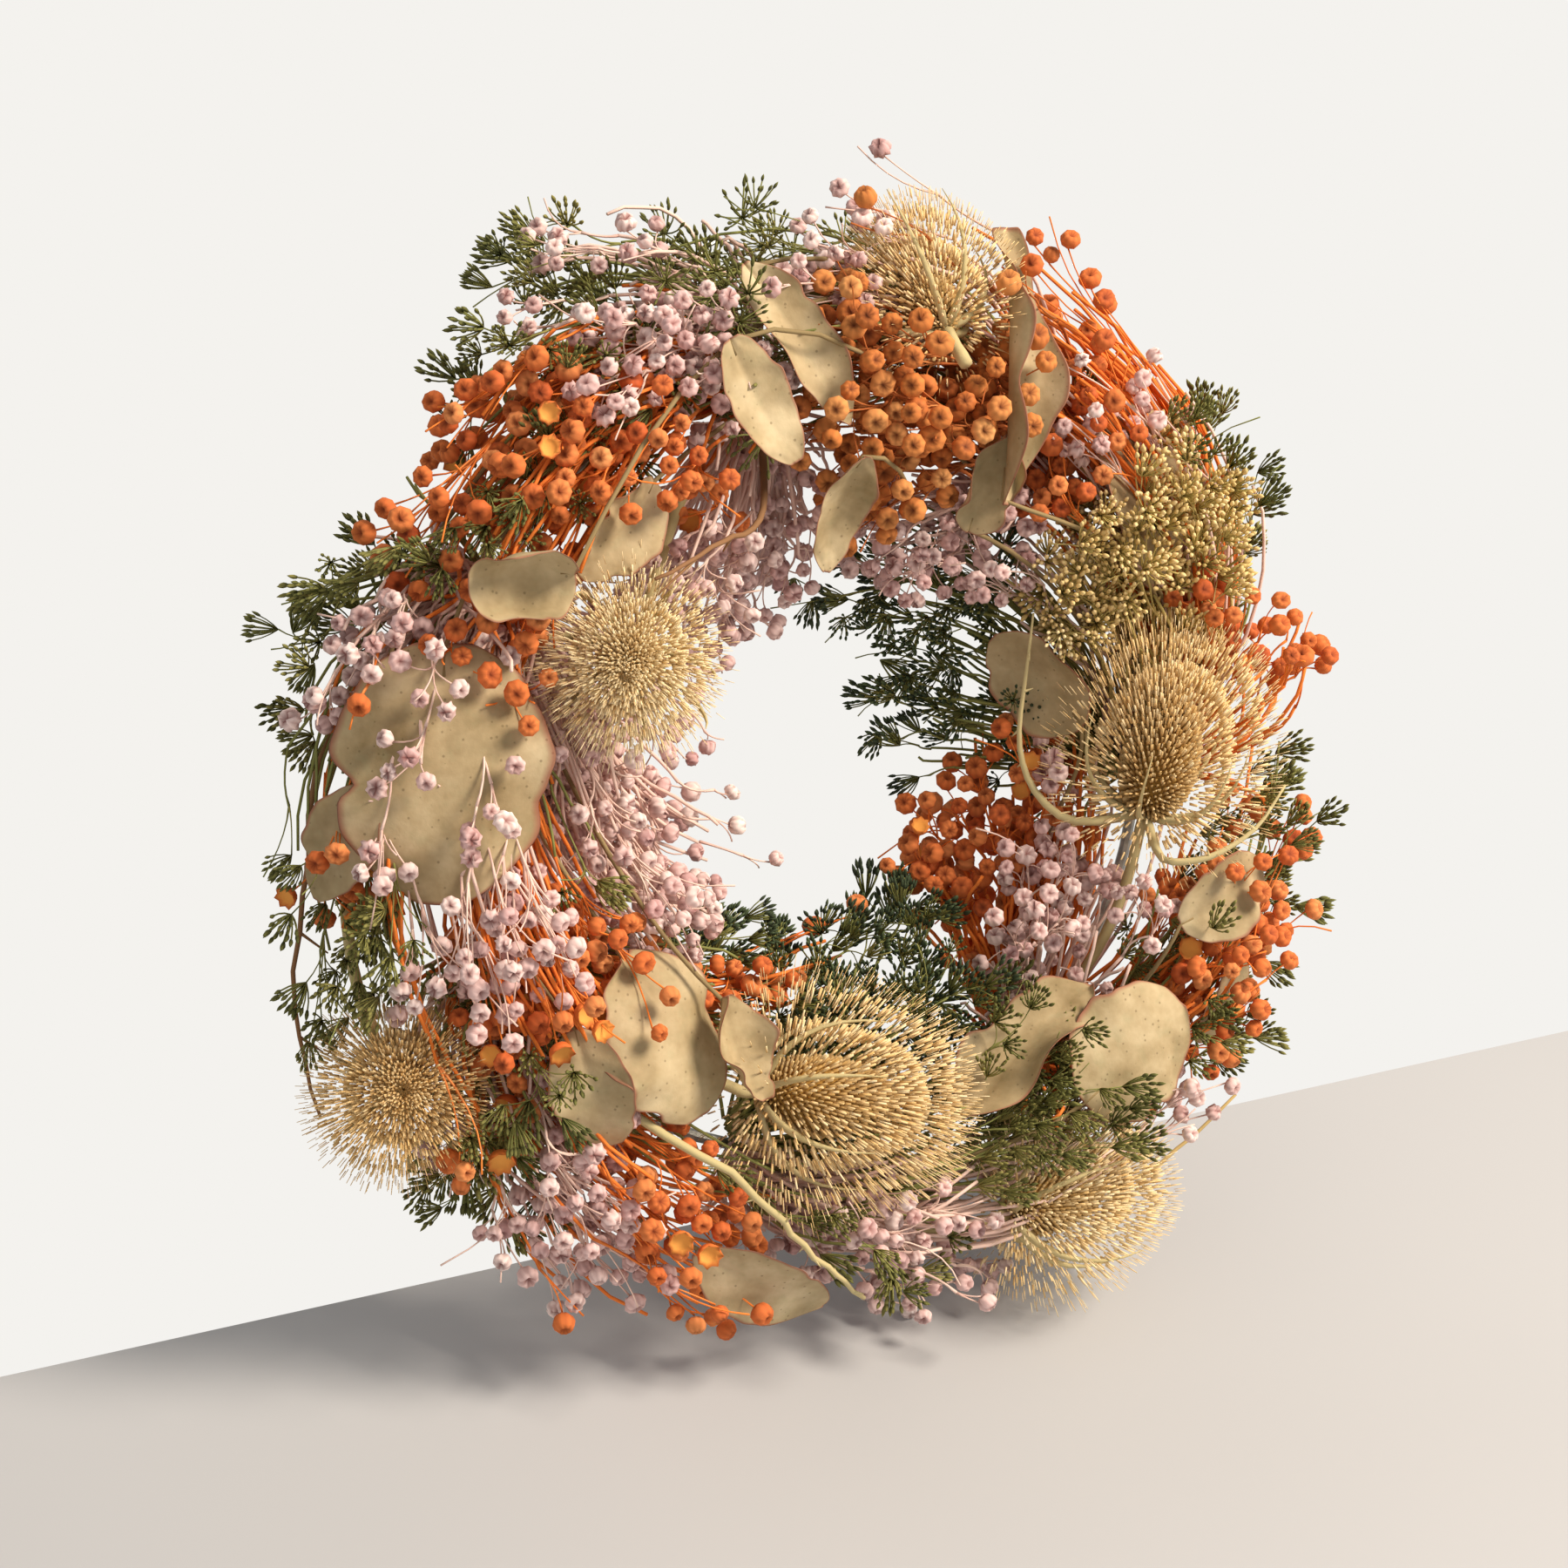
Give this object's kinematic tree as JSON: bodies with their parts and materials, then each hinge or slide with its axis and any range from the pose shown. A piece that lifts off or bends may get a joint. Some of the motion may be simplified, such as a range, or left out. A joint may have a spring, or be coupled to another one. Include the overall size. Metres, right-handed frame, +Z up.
{
  "type": "door wreath",
  "caption": "Dried-flower door wreath: teasel heads, ball flowers, umbels and leaves bound to a wire ring, with a hinged wire hanging loop at the top of the back.",
  "frame": {"origin": "the point inside the top of the hanging loop that rests on the door hook", "axes": "+Z up, -Y towards the front of the wreath, +Y towards the door, +X to the right seen from the front"},
  "size_m": [0.3916, 0.1059, 0.3857],
  "materials": {
    "steel_wire": "dull galvanised wire",
    "binding_wire": "dark green florist's wire, satin",
    "orange_flowers": "matt dried petals, bright orange",
    "terracotta_flowers": "matt dried petals, brown orange",
    "pink_flowers": "matt dried petals, dusty pink",
    "green_umbels": "matt dried umbels, dark green",
    "gold_umbels": "matt dried umbels, gold green",
    "teasel": "dry straw-coloured spines, satin",
    "leaf": "dusty dried leaf, olive tan",
    "twig": "dry bark"
  },
  "bodies": {
    "wreath": {"bare_twig_lower": "twig", "bare_twig_upper": "twig", "binding_wire_1": "binding_wire", "binding_wire_2": "binding_wire", "binding_wire_3": "binding_wire", "binding_wire_4": "binding_wire", "binding_wire_5": "binding_wire", "binding_wire_6": "binding_wire", "binding_wire_7": "binding_wire", "gold_umbels_1": "gold_umbels", "grass_blade": "twig", "green_umbels_1": "green_umbels", "green_umbels_2": "green_umbels", "green_umbels_3": "green_umbels", "green_umbels_4": "green_umbels", "green_umbels_5": "green_umbels", "green_umbels_6": "green_umbels", "green_umbels_7": "green_umbels", "leaf_1": "leaf", "leaf_10": "leaf", "leaf_11": "leaf", "leaf_12": "leaf", "leaf_13": "leaf", "leaf_14": "leaf", "leaf_15": "leaf", "leaf_16": "leaf", "leaf_17": "leaf", "leaf_18": "leaf", "leaf_2": "leaf", "leaf_3": "leaf", "leaf_4": "leaf", "leaf_5": "leaf", "leaf_6": "leaf", "leaf_7": "leaf", "leaf_8": "leaf", "leaf_9": "leaf", "orange_flowers_1": "orange_flowers", "orange_flowers_2": "orange_flowers", "orange_flowers_3": "orange_flowers", "orange_flowers_4": "orange_flowers", "orange_flowers_5": "orange_flowers", "orange_flowers_6": "orange_flowers", "orange_flowers_7": "orange_flowers", "pink_flowers_1": "pink_flowers", "pink_flowers_2": "pink_flowers", "pink_flowers_3": "pink_flowers", "pink_flowers_4": "pink_flowers", "pink_flowers_5": "pink_flowers", "pink_flowers_6": "pink_flowers", "teasel_1": "teasel", "teasel_2": "teasel", "teasel_3": "teasel", "teasel_4": "teasel", "teasel_5": "teasel", "teasel_6": "teasel", "terracotta_flowers_1": "terracotta_flowers", "wire_ring": "steel_wire"},
    "hanging_loop": {"hanging_loop": "steel_wire"}
  },
  "joints": [
    {"name": "hanging_loop_hinge", "type": "hinge", "parent": "wreath", "child": "hanging_loop", "pos_m": [0, -0.02198, -0.04713], "axis": [-1, 0, 0], "range_deg": [-10, 120]}
  ]
}
